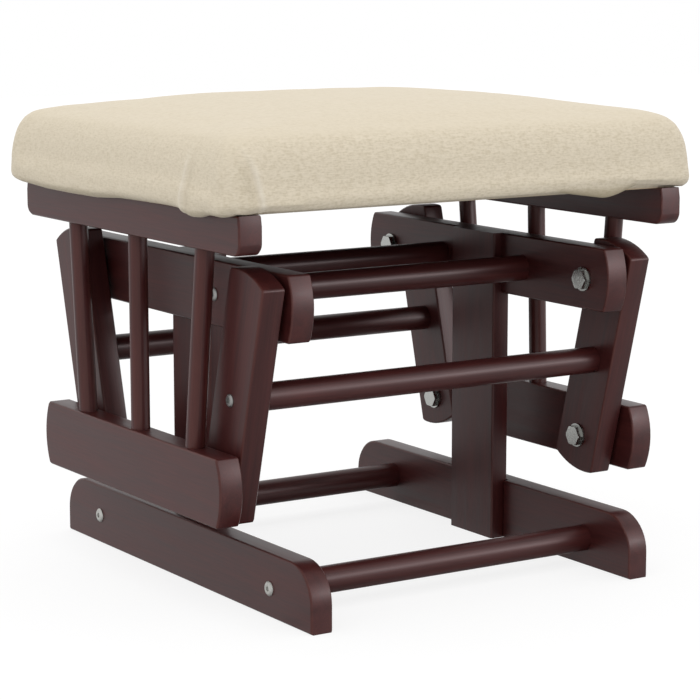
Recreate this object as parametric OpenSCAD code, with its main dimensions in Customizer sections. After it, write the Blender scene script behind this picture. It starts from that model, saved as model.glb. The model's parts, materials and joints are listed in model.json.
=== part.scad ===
// Glider ottoman. A base with two dowel-tied side stands carries four leaning swing links.
// The links carry a seat of two spindled side frames under an upholstered pad.
// X runs across the ottoman, Y along the glide with the front at -Y, Z up from the floor.

/* [Boards] */
// Thickness of the hanger rails, links and seat rails
board_t = 20; // [16:0.5:26]
// Thickness of the base rails
base_rail_t = 19; // [15:0.5:26]
// Thickness of the centre posts
post_t = 16.5; // [14:0.5:20]
// Bevel that eases the edges of every board
ease = 1.5; // [0.4:0.1:2]

/* [Base] */
// Clear width between the two hanger rails
hanger_gap = 274; // [220:1:360]
// Length of a base rail along the floor
base_rail_l = 400; // [360:1:480]
// Height of a base rail
base_rail_h = 50; // [44:1:60]
// Radius of the rounded top corners of a base rail
base_corner_r = 30; // [15:1:40]
// How much further out than the hanger rails the base rails stand
base_rail_out = 3; // [2:0.5:8]
// Width of a centre post
post_w = 61; // [40:1:80]
// How far a post stands proud of the hanger rail's inner face
post_proud = 8; // [4:0.5:10]
// How far the posts sit back of the middle
post_back = 2.5; // [0:0.5:4]
// Clearance in front of a post in its base rail's notch
notch_play = 2.5; // [0:0.5:4]
// Height of a hanger rail's underside above the floor
hanger_z = 212; // [200:1:240]
// Height of a hanger rail's face
hanger_h = 51; // [44:1:60]
// Length of a hanger rail, tip to tip
hanger_l = 346; // [330:1:380]
// How far the hanger rails sit back of the middle
hanger_back = 2; // [0:0.5:4]
// How far the ends of a hanger rail bulge
hanger_bulge = 6; // [3:0.5:10]

/* [Dowels] */
// Diameter of the six cross dowels
dowel_d = 21.5; // [16:0.5:24]
// Depth of the socket that each dowel end sits in
socket_deep = 5; // [3:0.5:7]
// Distance of the base dowels from the base rails' ends, along Y
base_dowel_in = 60; // [50:1:80]
// Height of the front base dowel above the floor
base_dowel_z = 22.5; // [18:0.5:26]
// How much higher the rear base dowel sits than the front one
base_dowel_rise = 1.5; // [0:0.5:4]
// Distance of the front upper dowel from the middle, along Y
front_upper_dowel_y = 56; // [48:0.5:70]
// Distance of the rear upper dowel from the middle, along Y
rear_upper_dowel_y = 59.5; // [48:0.5:70]

/* [Links] */
// Width of a swing link
link_w = 50; // [44:1:56]
// Distance between the two pivots of a link
link_l = 141; // [130:1:150]
// Lean of each link from upright at rest, in degrees
link_lean = 14.5; // [10:0.5:18]
// Distance from a pivot to the corners of the link's end
link_end = 24; // [20:0.5:28]
// How far the ends of a link bulge
link_bulge = 5; // [3:0.5:8]
// How much further up its pivots a rear link's board sits
rear_link_up = 5; // [0:0.5:8]
// Distance of the front link dowel from the lower pivots, along the links
front_link_dowel = 68; // [60:0.5:80]
// Distance of the rear link dowel from the lower pivots, along the links
rear_link_dowel = 72.5; // [60:0.5:80]
// Half of the distance between the two top pivots of one side
pivot_y = 139.5; // [130:0.5:145]
// Height of the top pivots above the hanger rail's underside
pivot_up = 24.5; // [20:0.5:28]
// Gap between boards at each pivot, filled by a spacer
pivot_gap = 4; // [3:0.5:6]
// Swing of the links each way from rest, in degrees
swing = 12; // [4:0.5:14]

/* [Seat frame] */
// Height of a lower seat rail's face
lower_rail_h = 53; // [46:0.5:58]
// Length of a lower seat rail, tip to tip
lower_rail_l = 294.5; // [280:1:330]
// How far the ends of a lower seat rail bulge
lower_bulge = 6.5; // [3:0.5:10]
// Depth of a lower rail's underside below the lower pivots
lower_drop = 26; // [22:0.5:28]
// Clear height between the lower and the upper seat rail
spindle_gap = 153.5; // [140:1:190]
// Height of an upper seat rail's face
upper_rail_h = 29.5; // [24:0.5:34]
// Length of an upper seat rail, tip to tip
upper_rail_l = 352; // [330:1:400]
// How far the upper seat rails sit forward of the middle
upper_forward = 1.5; // [0:0.5:4]
// Radius of an upper seat rail's lower corners
upper_corner_r = 9; // [4:0.5:12]
// Diameter of a spindle
spindle_d = 15; // [12:0.5:16]
// How deep a spindle sits in each rail
spindle_deep = 14; // [10:0.5:18]
// Distance of the front spindles from the middle at the lower rail
front_spindle_y = 92; // [70:0.5:100]
// How much further forward a front spindle stands at the upper rail
front_spindle_rake = 15.5; // [0:0.5:24]
// Distance of the middle spindles in front of the middle at the lower rail
middle_spindle_y = 4.5; // [0:0.5:10]
// How much further back a middle spindle stands at the upper rail
middle_spindle_rake = 3.5; // [0:0.5:10]
// Distance of the rear spindles from the middle at the lower rail
rear_spindle_y = 86.5; // [70:0.5:104]
// How much further back a rear spindle stands at the upper rail
rear_spindle_rake = 15.5; // [0:0.5:24]
// How much further inwards each spindle stands at the upper rail
spindle_lean_in = 1.5; // [0:0.5:2]

/* [Pad] */
// Height of the pad at the middle of its crown
pad_h = 74; // [68:1:100]
// Height of the pad's sides, where the crown starts
pad_side_h = 61; // [44:1:66]
// How far the pad stands out past the seat rails on each side
pad_over_x = 13; // [6:0.5:16]
// How far the pad stands out past the seat rails' ends
pad_over_y = 9.5; // [6:0.5:16]
// Radius of the pad's corners in plan
pad_corner_r = 18; // [14:1:40]
// Width of the rounded shoulder round the top of the pad
pad_shoulder = 31.5; // [24:0.5:50]
// Squareness of the shoulder: at 2 it is a plain ellipse, and above that it is fuller
pad_squareness = 2.9; // [2:0.1:4]
// The crown's rise falls away towards the sides as this power of the distance
pad_crown_power = 3; // [2:0.5:4]
// Height of the pad's widest line above the seat rails
pad_lip_h = 5; // [3:1:20]
// How far each side of the pad is drawn in at its middle
pad_draw = 2.5; // [0:0.5:6]
// Thickness of the seat board inside the pad
seat_board_t = 12; // [9:0.5:18]

/* [Hardware] */
// Diameter of a pivot bolt
bolt_d = 9.5; // [8:0.5:10]
// Width of a pivot bolt's hexagon across its flats
hex_af = 15; // [13:0.1:16]
// Height of a pivot bolt's head
hex_h = 4; // [4:0.5:8]
// Diameter of a pivot washer
washer_d = 19.5; // [17:0.5:22]
// Thickness of a pivot washer
washer_t = 1.5; // [1:0.1:2]
// Outer diameter of a pivot bearing
bearing_d = 22.2; // [20:0.1:26]
// Width of a pivot bearing
bearing_w = 7.1; // [5:0.1:9]
// Outer diameter of a threaded insert
insert_d = 13; // [12:0.5:16]
// Length of a threaded insert
insert_l = 14; // [10:0.5:15]
// Head diameter of the connector bolts in the base rails
base_bolt_head = 11.5; // [9:0.5:14]
// Head diameter of the screws in the hanger rails
hanger_screw_head = 10.5; // [8:0.5:13]
// Head diameter of the screws in the links
link_screw_head = 10; // [8:0.5:13]

/* [Hidden] */

// Fits, all on the radius or between two faces
glue_gap = 0.05;      // a glued, pressed or threaded piece in its hole
run_gap = 0.05;       // a bolt turning in its bearing
face_gap = 0.3;       // two faces that slide past each other
bolt_free = 0.75;     // round a bolt that passes through a board
over = 1;             // overrun of a cut past the face that it opens
bore_fn = 48;
arc_steps = 10;
tip_r = 2.5;          // rounding of the corners of a board's outline
tip_fn = 20;

// Places of the boards across the ottoman, from the middle outwards
hanger_x = hanger_gap / 2;
base_x = hanger_x + base_rail_out;
post_x = hanger_x - post_proud;
link_x = hanger_x + board_t + pivot_gap;
seat_x = link_x + board_t + pivot_gap;

// Heights and pivots
hanger_top = hanger_z + hanger_h;
pivot_z = hanger_z + pivot_up;
low_pivot_y = pivot_y - link_l * sin(link_lean);
low_pivot_z = pivot_z - link_l * cos(link_lean);
lower_z = low_pivot_z - lower_drop;
lower_top = lower_z + lower_rail_h;
upper_z = lower_top + spindle_gap;
upper_top = upper_z + upper_rail_h;
spindle_x = seat_x + board_t / 2;

// Places of the cross dowels, s = -1 at the front and 1 at the rear
function base_dowel_y(s) = s * (base_rail_l / 2 - base_dowel_in);
function base_dowel_up(s) = base_dowel_z + (s > 0 ? base_dowel_rise : 0);
function upper_dowel_y(s) = s < 0 ? -front_upper_dowel_y : rear_upper_dowel_y;
function link_dowel_at(s) = s < 0 ? front_link_dowel : rear_link_dowel;
function link_dowel_y(s) = s * (low_pivot_y + link_dowel_at(s) * sin(link_lean));
function link_dowel_z(s) = low_pivot_z + link_dowel_at(s) * cos(link_lean);

// The seat tips as the links swing. The seat and the rear links are each geared to the front
// links at a fixed ratio, so the rear lower pivot keeps this play in its insert.
tip_angle = swing * (pivot_y - low_pivot_y) / low_pivot_y;
pivot_play_spare = 0.6;
pivot_play = 2 * link_l * sin(link_lean) * (1 - cos(swing))
  + 2 * low_pivot_y * (1 - cos(tip_angle)) + pivot_play_spare;

// Small fasteners
screw_d = 4.5;
screw_bite = 28;      // how far a screw goes into a dowel's end
head_dome = 1.8;      // height of a round screw head
recess_d = 4.4;
recess_deep = 1.1;
hex_chamfer = 0.5;    // on the corners of a pivot bolt's head
base_bolt_d = 6;
base_bolt_bite = 30;
base_insert_d = 9;
base_insert_l = 20;
pin_d = 8;
pin_in_post = 11;
pin_in_rail = 8;
pin_step = 30;        // distance between the two pins of a joint, along Y
bearing_ring = 2.4;
bearing_groove = 0.8;
spacer_d = 15;
board_screw_d = 4.5;
board_screw_head = 9;
board_screw_sunk = 10;
board_screw_bite = 9;
board_screw_in = 26;  // distance of the outer screws from the rail's tips
board_rim = 15;       // from the seat board's edge to the pad's side
dust_cover_t = 0.8;
dust_cover_in = 8;    // from the dust cover's front edge to the seat board's
dust_cover_side = 0.5;
seat_insert_wall = 2;

wood = "#4a2a26";
steel = "#b9babb";
brass = "#b08d4c";
fabric = "#ddd2b8";

// Places 2D outlines that are drawn in (Y, Z) at x0, and gives them a thickness along X
module upright(x0, t) {
  translate([x0, 0, 0]) rotate([90, 0, 90]) linear_extrude(t) children();
}

// A board of a convex outline with all its edges eased
module eased(x0, t) {
  hull() {
    upright(x0 + ease, t - 2 * ease) children();
    upright(x0, t) offset(delta = -ease) children();
  }
}

module soften() {
  offset(r = tip_r, $fn = tip_fn) offset(delta = -tip_r) children();
}

module rod_x(d, x0, x1, y, z) {
  translate([x0, y, z]) rotate([0, 90, 0]) cylinder(d = d, h = x1 - x0, $fn = bore_fn);
}

module left_too() {
  children();
  mirror([1, 0, 0]) children();
}

// Outline of a rail whose ends bulge in one arc, centred on y = 0, from z = 0 up
function bulge_r(h, bulge) = (pow(h / 2, 2) + pow(bulge, 2)) / (2 * bulge);
function bulge_end(l, h, bulge, turn) =
  let (r = bulge_r(h, bulge), half = asin(h / 2 / r))
  [for (i = [0 : arc_steps]) let (a = half * (2 * i / arc_steps - 1))
    [turn * (l / 2 - r + r * cos(a)), h / 2 + turn * r * sin(a)]];
module bulged(l, h, bulge) {
  soften() polygon(concat(bulge_end(l, h, bulge, 1), bulge_end(l, h, bulge, -1)));
}

// Outline of a base rail: flat below, with a quarter round at each top corner
function corner_arc(turn) =
  [for (i = [0 : arc_steps]) let (a = 90 * (turn > 0 ? i : arc_steps - i) / arc_steps)
    [turn * (base_rail_l / 2 - base_corner_r + base_corner_r * cos(a)),
     base_rail_h - base_corner_r + base_corner_r * sin(a)]];
module base_outline() {
  polygon(concat([[base_rail_l / 2, 0]], corner_arc(1), corner_arc(-1),
    [[-base_rail_l / 2, 0]]));
}

module base_rail() {
  color(wood) difference() {
    eased(base_x, base_rail_t) base_outline();
    translate([base_x - over, post_back - post_w / 2 - glue_gap - notch_play, -over])
      cube([post_x + post_t - base_x + over + glue_gap, post_w + 2 * glue_gap + notch_play,
        base_rail_h + 2 * over]);
    for (s = [-1, 1]) {
      rod_x(dowel_d + 2 * glue_gap, base_x - over, base_x + socket_deep + glue_gap,
        base_dowel_y(s), base_dowel_up(s));
      rod_x(base_bolt_d + 2 * glue_gap, base_x, base_x + base_rail_t + over,
        base_dowel_y(s), base_dowel_up(s));
      pin_hole(s, pin_z_low);
    }
  }
}

pin_z_low = base_rail_h / 2;
pin_z_high = hanger_z + hanger_h / 2;
module pin_hole(s, z) {
  rod_x(pin_d + 2 * glue_gap, post_x + post_t - pin_in_post - glue_gap,
    post_x + post_t + pin_in_rail + glue_gap, post_back + s * pin_step / 2, z);
}

module hanger_rail() {
  color(wood) difference() {
    eased(hanger_x, board_t) translate([hanger_back, hanger_z])
      bulged(hanger_l, hanger_h, hanger_bulge);
    translate([hanger_x - over, post_back - post_w / 2 - glue_gap, hanger_z - over])
      cube([post_proud_cut + over, post_w + 2 * glue_gap, hanger_h + 2 * over]);
    for (s = [-1, 1]) {
      rod_x(dowel_d + 2 * glue_gap, hanger_x - over, hanger_x + socket_deep + glue_gap,
        upper_dowel_y(s), upper_dowel_z);
      rod_x(screw_d + 2 * glue_gap, hanger_x, hanger_x + board_t + over,
        upper_dowel_y(s), upper_dowel_z);
      pin_hole(s, pin_z_high);
      bearing_seat(hanger_x, s * pivot_y, pivot_z);
    }
  }
}
post_proud_cut = post_x + post_t - hanger_x + glue_gap;
upper_dowel_z = pivot_z;

// A bolt hole right through a board, opened out at the outer face for a bearing
module bearing_seat(x0, y, z) {
  rod_x(bolt_d + 2 * bolt_free, x0 - over, x0 + board_t + over, y, z);
  rod_x(bearing_d + 2 * glue_gap, x0 + board_t - bearing_w - glue_gap, x0 + board_t + over,
    y, z);
}

module post() {
  color(wood) difference() {
    translate([post_x, post_back, 0]) post_shape();
    for (s = [-1, 1]) {
      pin_hole(s, pin_z_low);
      pin_hole(s, pin_z_high);
    }
  }
}
// The post's long edges are eased, and its ends are cut square
module post_shape() {
  linear_extrude(hanger_top) polygon([
    [ease, -post_w / 2], [post_t - ease, -post_w / 2], [post_t, -post_w / 2 + ease],
    [post_t, post_w / 2 - ease], [post_t - ease, post_w / 2], [ease, post_w / 2],
    [0, post_w / 2 - ease], [0, -post_w / 2 + ease]]);
}

module post_pins() {
  color("#c9a26b") left_too() for (s = [-1, 1], z = [pin_z_low, pin_z_high])
    rod_x(pin_d, post_x + post_t - pin_in_post, post_x + post_t + pin_in_rail,
      post_back + s * pin_step / 2, z);
}

// A dowel between two sockets, drilled up its ends for the fasteners
module cross_dowel(x0, y, z, hole_d, hole_l) {
  color(wood) difference() {
    rod_x(dowel_d, -x0 - socket_deep, x0 + socket_deep, y, z);
    left_too() rod_x(hole_d + 2 * glue_gap, x0 + socket_deep - hole_l - glue_gap,
      x0 + socket_deep + over, y, z);
  }
}

// A round-headed screw along X: its head sits on the face at x1 and its shank runs inwards
module dowel_screw(x1, y, z, d, l, head_d) {
  difference() {
    union() {
      rod_x(d, x1 - l, x1 + over / 2, y, z);
      translate([x1, y, z]) rotate([0, 90, 0]) rotate_extrude($fn = bore_fn)
        polygon([[0, 0], [head_d / 2, 0], [head_d / 2, head_dome / 3],
          [head_d / 2 - head_dome / 2, head_dome * 5 / 6], [head_d / 4, head_dome], [0, head_dome]]);
    }
    translate([x1 + head_dome - recess_deep, y, z]) rotate([0, 90, 0])
      cylinder(d = recess_d, h = recess_deep + over, $fn = 6);
  }
}

module base_bolts() {
  color(steel) left_too() for (s = [-1, 1])
    dowel_screw(base_x + base_rail_t, base_dowel_y(s), base_dowel_up(s), base_bolt_d,
      base_rail_t - socket_deep + base_bolt_bite, base_bolt_head);
}

module base_bolt_inserts() {
  color(brass) left_too() for (s = [-1, 1]) difference() {
    rod_x(base_insert_d, base_x + socket_deep - base_insert_l, base_x + socket_deep,
      base_dowel_y(s), base_dowel_up(s));
    rod_x(base_bolt_d + 2 * glue_gap, base_x + socket_deep - base_insert_l - over,
      base_x + socket_deep + over, base_dowel_y(s), base_dowel_up(s));
  }
}

module base_dowel(s) {
  color(wood) difference() {
    cross_dowel(base_x, base_dowel_y(s), base_dowel_up(s), base_bolt_d, base_bolt_bite);
    left_too() rod_x(base_insert_d + 2 * glue_gap, base_x + socket_deep - base_insert_l - glue_gap,
      base_x + socket_deep + over, base_dowel_y(s), base_dowel_up(s));
  }
}

module hanger_screws() {
  color(steel) left_too() for (s = [-1, 1])
    dowel_screw(hanger_x + board_t, upper_dowel_y(s), upper_dowel_z, screw_d,
      board_t - socket_deep + screw_bite, hanger_screw_head);
}

// A sealed bearing: one ring with a groove on each face round its inner ring
module bearing(x1, y, z, bore) {
  translate([x1 - bearing_w, y, z]) rotate([0, 90, 0]) rotate_extrude($fn = bore_fn)
    polygon([[bore, 0], [bore + bearing_ring, 0], [bore + bearing_ring, bearing_groove],
      [bearing_d / 2 - bearing_ring, bearing_groove], [bearing_d / 2 - bearing_ring, 0],
      [bearing_d / 2, 0], [bearing_d / 2, bearing_w], [bearing_d / 2 - bearing_ring, bearing_w],
      [bearing_d / 2 - bearing_ring, bearing_w - bearing_groove],
      [bore + bearing_ring, bearing_w - bearing_groove], [bore + bearing_ring, bearing_w],
      [bore, bearing_w]]);
}
bearing_bore_r = bolt_d / 2 + run_gap;

module hanger_bearings() {
  color(steel) left_too() for (s = [-1, 1])
    bearing(hanger_x + board_t, s * pivot_y, pivot_z, bearing_bore_r);
}

// Outline of a link in its own axes: from the lower pivot at the origin up to the top pivot
module link_outline() {
  translate([0, -link_end - link_bulge]) soften() rotate(90)
    translate([link_l / 2 + link_end + link_bulge, -link_w / 2])
      polygon(concat(bulge_end(link_l + 2 * link_end + 2 * link_bulge, link_w, link_bulge, 1),
        bulge_end(link_l + 2 * link_end + 2 * link_bulge, link_w, link_bulge, -1)));
}

// One link on the right-hand side, s = -1 at the front and 1 at the rear
module link(s) {
  color(wood) difference() {
    translate([0, s * low_pivot_y, low_pivot_z]) rotate([-s * link_lean, 0, 0])
      eased(link_x, board_t) translate([0, s > 0 ? rear_link_up : 0]) link_outline();
    rod_x(insert_d + 2 * glue_gap, link_x - over, link_x + insert_l + glue_gap,
      s * pivot_y, pivot_z);
    bearing_seat(link_x, s * low_pivot_y, low_pivot_z);
    rod_x(dowel_d + 2 * glue_gap, link_x - over, link_x + socket_deep + glue_gap,
      link_dowel_y(s), link_dowel_z(s));
    rod_x(screw_d + 2 * glue_gap, link_x, link_x + board_t + over, link_dowel_y(s),
      link_dowel_z(s));
  }
}

module link_screws(s) {
  color(steel) left_too() dowel_screw(link_x + board_t, link_dowel_y(s), link_dowel_z(s),
    screw_d, board_t - socket_deep + screw_bite, link_screw_head);
}

// A hexagon bolt along X whose head bears on a washer at the inner face x0 of a board.
// Its head stands with flats above and below.
hex_corners = hex_af / cos(30);
module pivot_bolt(x0, y, z, end_x) {
  head_x = x0 - face_gap - washer_t - hex_h;
  color(steel) left_too() {
    rod_x(bolt_d, head_x + hex_h, end_x, y, z);
    intersection() {
      translate([head_x, y, z]) rotate([0, 90, 0]) rotate(90)
        cylinder(d = hex_corners, h = hex_h, $fn = 6);
      translate([head_x, y, z]) rotate([0, 90, 0])
        cylinder(d1 = hex_corners - 2 * hex_chamfer, d2 = hex_corners + 2 * hex_h, h = hex_h,
          $fn = bore_fn);
    }
  }
}
module pivot_washer(x0, y, z) {
  color(steel) left_too() difference() {
    rod_x(washer_d, x0 - face_gap - washer_t, x0 - face_gap, y, z);
    rod_x(bolt_d + 2 * glue_gap, x0 - face_gap - washer_t - over, x0 + over, y, z);
  }
}
module pivot_spacer(x0, x1, y, z) {
  color(steel) left_too() difference() {
    rod_x(spacer_d, x0, x1, y, z);
    rod_x(bolt_d + 2 * glue_gap, x0 - over, x1 + over, y, z);
  }
}
module pivot_insert(x0, y, z, d, bore) {
  color(brass) left_too() difference() {
    rod_x(d, x0, x0 + insert_l, y, z);
    rod_x(bore, x0 - over, x0 + insert_l + over, y, z);
  }
}

// The top bolts turn in the hanger rails' bearings and are screwed into the links
module top_bolts(s) { pivot_bolt(hanger_x, s * pivot_y, pivot_z, link_x + insert_l); }
module top_washers(s) { pivot_washer(hanger_x, s * pivot_y, pivot_z); }
module top_spacers(s) {
  pivot_spacer(hanger_x + board_t + face_gap, link_x, s * pivot_y, pivot_z);
}
module top_inserts(s) {
  pivot_insert(link_x, s * pivot_y, pivot_z, insert_d, bolt_d + 2 * glue_gap);
}
module link_bearings(s) {
  color(steel) left_too()
    bearing(link_x + board_t, s * low_pivot_y, low_pivot_z, bearing_bore_r);
}

// The lower bolts turn in the links' bearings and run into the seat rails
module lower_bolts(s) {
  pivot_bolt(link_x, s * low_pivot_y, low_pivot_z, seat_x + insert_l);
}
module lower_washers(s) { pivot_washer(link_x, s * low_pivot_y, low_pivot_z); }
module lower_spacers_front() {
  pivot_spacer(link_x + board_t + face_gap, seat_x, -low_pivot_y, low_pivot_z);
}
module lower_spacers_rear() {
  pivot_spacer(link_x + board_t, seat_x - face_gap, low_pivot_y, low_pivot_z);
}
module seat_inserts_front() {
  pivot_insert(seat_x, -low_pivot_y, low_pivot_z, insert_d, bolt_d + 2 * glue_gap);
}
play_bore = bolt_d + 2 * pivot_play;
play_insert_d = play_bore + 2 * seat_insert_wall;
module seat_inserts_rear() {
  pivot_insert(seat_x, low_pivot_y, low_pivot_z, play_insert_d, play_bore);
}

// Foot and rake of each spindle along the glide, and the small lean that all of them share
function spindle_foot(s) = s < 0 ? -front_spindle_y : s > 0 ? rear_spindle_y : -middle_spindle_y;
function spindle_rake(s) =
  s < 0 ? -front_spindle_rake : s > 0 ? rear_spindle_rake : middle_spindle_rake;
spindle_lean = atan(spindle_lean_in / spindle_gap);
module along_spindle(s, below, above) {
  tilt = atan(spindle_rake(s) * cos(spindle_lean) / spindle_gap);
  translate([spindle_x, spindle_foot(s), lower_top]) rotate([-tilt, -spindle_lean, 0])
    translate([0, 0, -below]) cylinder(d = spindle_d + 2 * $fit, h = below + above
      + spindle_gap / cos(tilt) / cos(spindle_lean), $fn = bore_fn);
}
module spindle(s) {
  color(wood) along_spindle(s, spindle_deep, spindle_deep, $fit = 0);
}
module spindle_holes() {
  for (s = [-1, 0, 1]) along_spindle(s, spindle_deep + glue_gap, spindle_deep + glue_gap,
    $fit = glue_gap);
}

module lower_rail() {
  color(wood) difference() {
    eased(seat_x, board_t) translate([0, lower_z]) bulged(lower_rail_l, lower_rail_h, lower_bulge);
    spindle_holes();
    rod_x(insert_d + 2 * glue_gap, seat_x - over, seat_x + insert_l + glue_gap,
      -low_pivot_y, low_pivot_z);
    rod_x(play_insert_d + 2 * glue_gap, seat_x - over, seat_x + insert_l + glue_gap,
      low_pivot_y, low_pivot_z);
  }
}

// Outline of an upper rail: square above, where the pad sits, and round at its lower corners
module upper_outline() {
  hull() {
    for (s = [-1, 1]) translate([s * (upper_rail_l / 2 - upper_corner_r), upper_corner_r])
      circle(upper_corner_r, $fn = bore_fn);
    translate([-upper_rail_l / 2 + ease, upper_rail_h - ease]) square([upper_rail_l - 2 * ease, ease]);
    translate([-upper_rail_l / 2, upper_rail_h * 2 / 3]) square([upper_rail_l, ease]);
  }
}
board_screw_y = upper_rail_l / 2 - board_screw_in;
module upper_rail() {
  color(wood) difference() {
    eased(seat_x, board_t) translate([-upper_forward, upper_z]) upper_outline();
    spindle_holes();
    for (s = [-1, 1]) translate([spindle_x, s * board_screw_y, 0]) {
      translate([0, 0, upper_z - over])
        cylinder(d = board_screw_head + 2 * glue_gap, h = board_screw_sunk + over, $fn = bore_fn);
      translate([0, 0, upper_z])
        cylinder(d = board_screw_d + 2 * glue_gap, h = upper_rail_h + over, $fn = bore_fn);
    }
  }
}

board_hx = seat_x + board_t + pad_over_x - board_rim;
board_hy = upper_rail_l / 2 + pad_over_y - board_rim;
module seat_board() {
  color("#c8a878") difference() {
    translate([-board_hx, -board_hy, upper_top]) cube([2 * board_hx, 2 * board_hy, seat_board_t]);
    left_too() for (s = [-1, 1]) translate([spindle_x, s * board_screw_y, upper_top - over])
      cylinder(d = board_screw_d + 2 * glue_gap, h = board_screw_bite + over + glue_gap,
        $fn = bore_fn);
  }
}
module seat_board_screws() {
  color(steel) left_too() for (s = [-1, 1]) translate([spindle_x, s * board_screw_y, 0]) {
    translate([0, 0, upper_z + board_screw_sunk - board_screw_d])
      cylinder(d1 = board_screw_head, d2 = board_screw_head, h = board_screw_d, $fn = bore_fn);
    translate([0, 0, upper_z + board_screw_sunk - over])
      cylinder(d = board_screw_d, h = upper_top + board_screw_bite - upper_z - board_screw_sunk
        + over, $fn = bore_fn);
  }
}
module dust_cover() {
  color("#26241f") translate([-seat_x + dust_cover_side, -board_hy + dust_cover_in,
      upper_top - dust_cover_t])
    cube([2 * (seat_x - dust_cover_side), 2 * (board_hy - dust_cover_in), dust_cover_t]);
}

// The pad is a stack of rings. Each ring is the plan outline drawn in by an inset.
pad_hx = seat_x + board_t + pad_over_x;
pad_hy = upper_rail_l / 2 + pad_over_y;
pad_side_steps = 7;
pad_corner_steps = 6;
pad_shoulder_steps = 7;
pad_shoulder_turn = 84;   // where the shoulder's curve hands over to the crown, in degrees
pad_hem = 3;              // the pad's underside is this much smaller all round
pad_ring_shares = [0.9, 0.76, 0.58, 0.38, 0.18];

function pad_side(from, to, out) = [for (i = [0 : pad_side_steps - 1])
  let (u = i / pad_side_steps) from + (to - from) * u - out * pad_draw * pow(sin(180 * u), 2)];
function pad_corner(cx, cy, r, turn) = [for (i = [0 : pad_corner_steps - 1])
  let (a = turn + 90 * i / pad_corner_steps) [cx + r * cos(a), cy + r * sin(a)]];
function pad_quarter(hx, hy, r, q) =
  let (sx = q == 0 || q == 3 ? 1 : -1, sy = q < 2 ? 1 : -1,
    next = [[-1, 1], [-1, -1], [1, -1], [1, 1]][q], out = [[0, 1], [-1, 0], [0, -1], [1, 0]][q],
    a = [sx * (hx - r) + (q % 2 == 0 ? 0 : sx * r), sy * (hy - r) + (q % 2 == 0 ? sy * r : 0)],
    b = [next[0] * (hx - r) + (q % 2 == 0 ? 0 : next[0] * r),
      next[1] * (hy - r) + (q % 2 == 0 ? next[1] * r : 0)])
  concat(pad_corner(sx * (hx - r), sy * (hy - r), r, 90 * q), pad_side(a, b, out));
function pad_plan(inset) =
  let (hx = pad_hx - inset, hy = pad_hy - inset, r = pad_corner_r)
  [for (q = [0 : 3]) each pad_quarter(hx, hy, r, q)];
function pad_at(points, z) = [for (p = points) [p[0], p[1], z]];
// The crown is highest in the middle and stays full nearly to the sides
function pad_fall(distance, edge) = max(0, 1 - pow(abs(distance) / edge, pad_crown_power));
function pad_crown_at(points, share) = [for (p = points)
  [p[0] * share, p[1] * share, upper_top + pad_edge[1]
    + pad_crown * pad_fall(p[0] * share, pad_edge_hx) * pad_fall(p[1] * share, pad_edge_hy)]];

pad_rise = pad_side_h - pad_lip_h;
pad_low_rings = [[pad_hem, 0], [pad_hem / 4, pad_lip_h / 3], [0, pad_lip_h]];
pad_fullness = 2 / pad_squareness;
pad_side_rings = [for (i = [1 : pad_shoulder_steps])
  let (a = pad_shoulder_turn * i / pad_shoulder_steps)
  [pad_shoulder * (1 - pow(cos(a), pad_fullness)), pad_lip_h + pad_rise * pow(sin(a), pad_fullness)]];
pad_rings = concat(pad_low_rings, pad_side_rings);
pad_edge = pad_rings[len(pad_rings) - 1];
pad_edge_hx = pad_hx - pad_edge[0];
pad_edge_hy = pad_hy - pad_edge[0];
pad_crown = pad_h - pad_edge[1];
pad_points = concat(
  [for (ring = pad_rings) each pad_at(pad_plan(ring[0]), upper_top + ring[1])],
  [for (share = pad_ring_shares) each pad_crown_at(pad_plan(pad_edge[0]), share)],
  [[0, 0, upper_top], [0, 0, upper_top + pad_h]]);
pad_round = 4 * (pad_side_steps + pad_corner_steps);
pad_levels = len(pad_rings) + len(pad_ring_shares);
pad_faces = concat(
  [for (k = [0 : pad_levels - 2], i = [0 : pad_round - 1])
    let (j = (i + 1) % pad_round, a = k * pad_round, b = a + pad_round)
    each [[a + i, b + i, b + j], [a + i, b + j, a + j]]],
  [for (i = [0 : pad_round - 1]) [pad_levels * pad_round, i, (i + 1) % pad_round]],
  [for (i = [0 : pad_round - 1]) let (a = (pad_levels - 1) * pad_round)
    [pad_levels * pad_round + 1, a + (i + 1) % pad_round, a + i]]);
module pad() {
  color(fabric) difference() {
    polyhedron(pad_points, pad_faces);
    translate([-board_hx, -board_hy, upper_top - over])
      cube([2 * board_hx, 2 * board_hy, seat_board_t + over]);
  }
}

mirror([1, 0, 0]) base_rail();  // base_rail_left
base_rail();  // base_rail_right
mirror([1, 0, 0]) post();  // post_left
post();  // post_right
mirror([1, 0, 0]) hanger_rail();  // hanger_rail_left
hanger_rail();  // hanger_rail_right
base_dowel(-1);  // base_dowel_front
base_dowel(1);  // base_dowel_rear
cross_dowel(hanger_x, upper_dowel_y(-1), upper_dowel_z, screw_d, screw_bite);  // upper_dowel_front
cross_dowel(hanger_x, upper_dowel_y(1), upper_dowel_z, screw_d, screw_bite);  // upper_dowel_rear
base_bolts();
base_bolt_inserts();
hanger_screws();
post_pins();
hanger_bearings();
mirror([1, 0, 0]) link(-1);  // link_front_left
link(-1);  // link_front_right
cross_dowel(link_x, link_dowel_y(-1), link_dowel_z(-1), screw_d, screw_bite);  // link_dowel_front
link_screws(-1);  // link_screws_front
top_bolts(-1);  // top_bolts_front
top_washers(-1);  // top_washers_front
top_spacers(-1);  // top_spacers_front
top_inserts(-1);  // top_inserts_front
link_bearings(-1);  // link_bearings_front
mirror([1, 0, 0]) link(1);  // link_rear_left
link(1);  // link_rear_right
cross_dowel(link_x, link_dowel_y(1), link_dowel_z(1), screw_d, screw_bite);  // link_dowel_rear
link_screws(1);  // link_screws_rear
top_bolts(1);  // top_bolts_rear
top_washers(1);  // top_washers_rear
top_spacers(1);  // top_spacers_rear
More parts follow.
